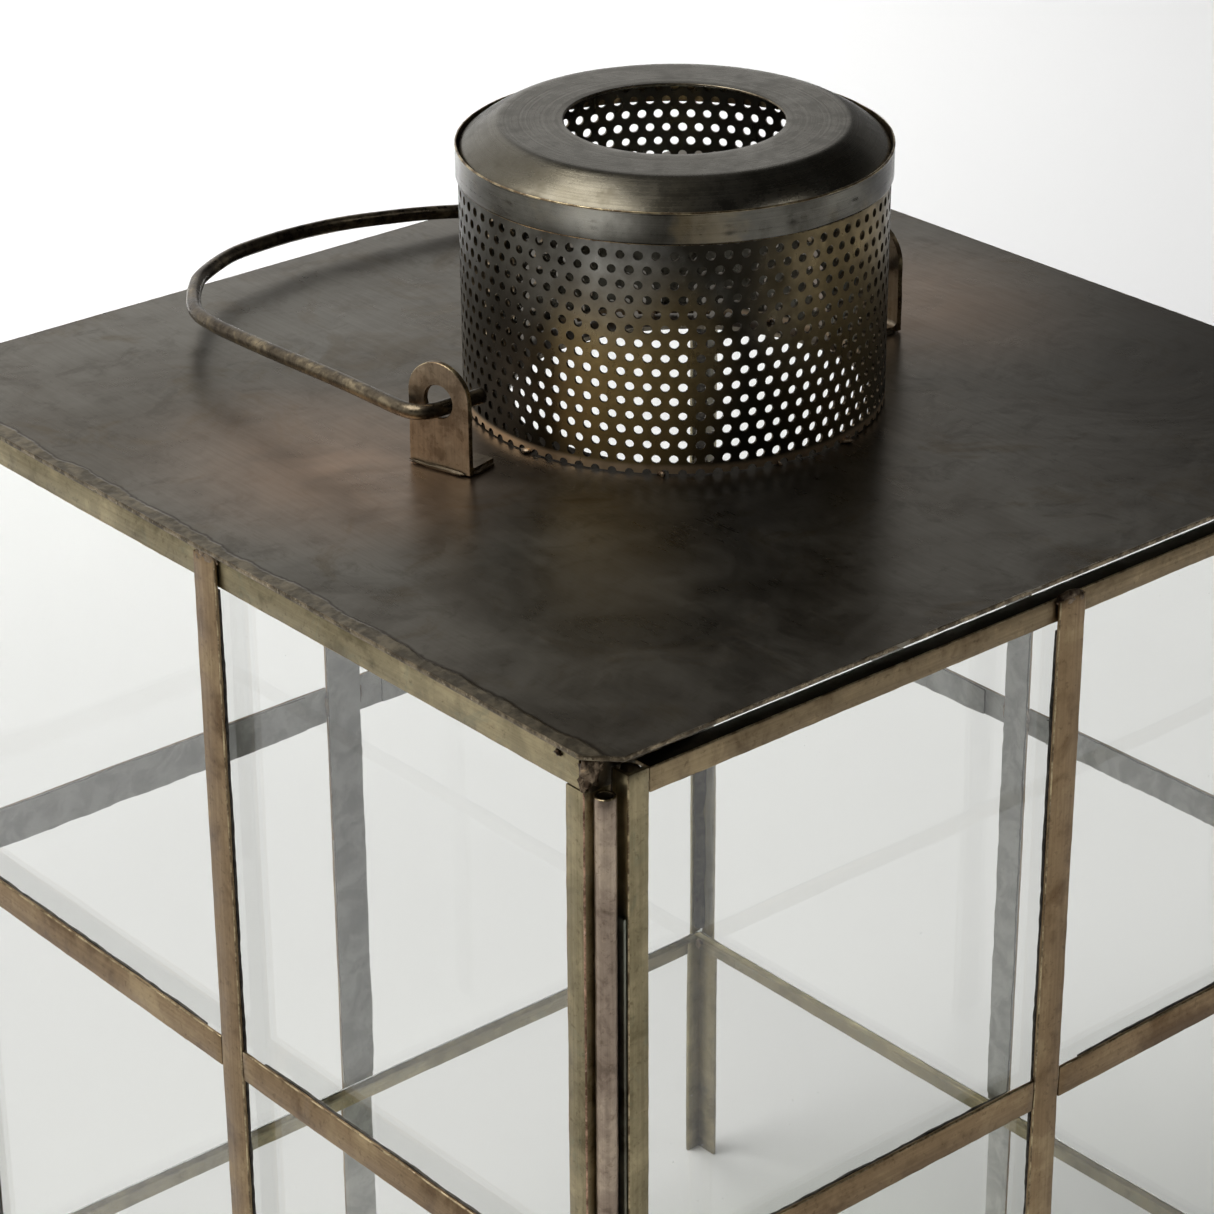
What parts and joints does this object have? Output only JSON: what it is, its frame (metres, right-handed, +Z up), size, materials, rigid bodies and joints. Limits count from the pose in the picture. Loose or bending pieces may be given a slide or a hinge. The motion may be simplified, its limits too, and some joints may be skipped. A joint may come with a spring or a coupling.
{
  "type": "candle lantern",
  "caption": "Square four-legged glass and brass lantern with a hinged glass door, a perforated round chimney on its flat roof and a wire bail lying beside it.",
  "frame": {"origin": "on the floor under the middle of the roof plate, level with the feet", "axes": "+Z up; -Y out through the door; +X along the door from its hinge edge to its catch edge"},
  "size_m": [0.23, 0.2331, 0.3541],
  "materials": {
    "roof_sheet": "antiqued brass sheet, dark brown satin patina",
    "frame_brass": "antiqued brass angle, worn bright edges",
    "strip_brass": "antiqued brass strip, worn bright edges",
    "chimney_sheet": "antiqued perforated brass sheet, satin",
    "band_brass": "lightly antiqued brass strip, brushed",
    "cap_sheet": "dark antiqued brass pressing, brushed round",
    "bail_brass": "antiqued brass wire and tab, satin",
    "hinge_brass": "plain brass tube, tarnished",
    "clear_glass": "clear float glass"
  },
  "bodies": {
    "body": {"roof_plate": "roof_sheet", "chimney_tube": "chimney_sheet", "chimney_band": "band_brass", "chimney_cap": "cap_sheet", "bail_ear_left": "bail_brass", "bail_ear_right": "bail_brass", "post_front_left": "frame_brass", "post_front_right": "frame_brass", "post_back_left": "frame_brass", "post_back_right": "frame_brass", "top_rail_left": "frame_brass", "top_rail_right": "frame_brass", "top_rail_back": "frame_brass", "bottom_rail_left": "frame_brass", "bottom_rail_right": "frame_brass", "bottom_rail_back": "frame_brass", "bottom_rail_front": "frame_brass", "pane_left": "clear_glass", "pane_right": "clear_glass", "pane_back": "clear_glass", "base_glass": "clear_glass", "strip_left_upright": "strip_brass", "strip_left_cross_a": "strip_brass", "strip_left_cross_b": "strip_brass", "strip_right_upright": "strip_brass", "strip_right_cross_a": "strip_brass", "strip_right_cross_b": "strip_brass", "strip_back_upright": "strip_brass", "strip_back_cross_a": "strip_brass", "strip_back_cross_b": "strip_brass", "hinge_tube_upper": "hinge_brass", "hinge_tube_lower": "hinge_brass", "hinge_pin": "hinge_brass", "catch_rivet": "hinge_brass"},
    "door": {"door_stile_hinge": "frame_brass", "door_stile_catch": "frame_brass", "door_rail_top": "frame_brass", "door_rail_bottom": "frame_brass", "door_pane": "clear_glass", "door_strip_upright": "strip_brass", "door_strip_cross_a": "strip_brass", "door_strip_cross_b": "strip_brass", "hinge_leaf": "hinge_brass"},
    "bail": {"bail_handle": "bail_brass"},
    "catch": {"turn_button": "hinge_brass"}
  },
  "joints": [
    {"name": "door_hinge", "type": "hinge", "parent": "body", "child": "door", "pos_m": [-0.111, -0.1116, 0.17], "axis": [0, 0, -1], "range_deg": [0, 165]},
    {"name": "bail_pivot", "type": "hinge", "parent": "body", "child": "bail", "pos_m": [0.002, 0, 0.3078], "axis": [1, 0, 0], "range_deg": [0, 188]},
    {"name": "catch_pivot", "type": "hinge", "parent": "body", "child": "catch", "pos_m": [0.1123, -0.1146, 0.166], "axis": [0, 1, 0], "range_deg": [0, 90]}
  ]
}
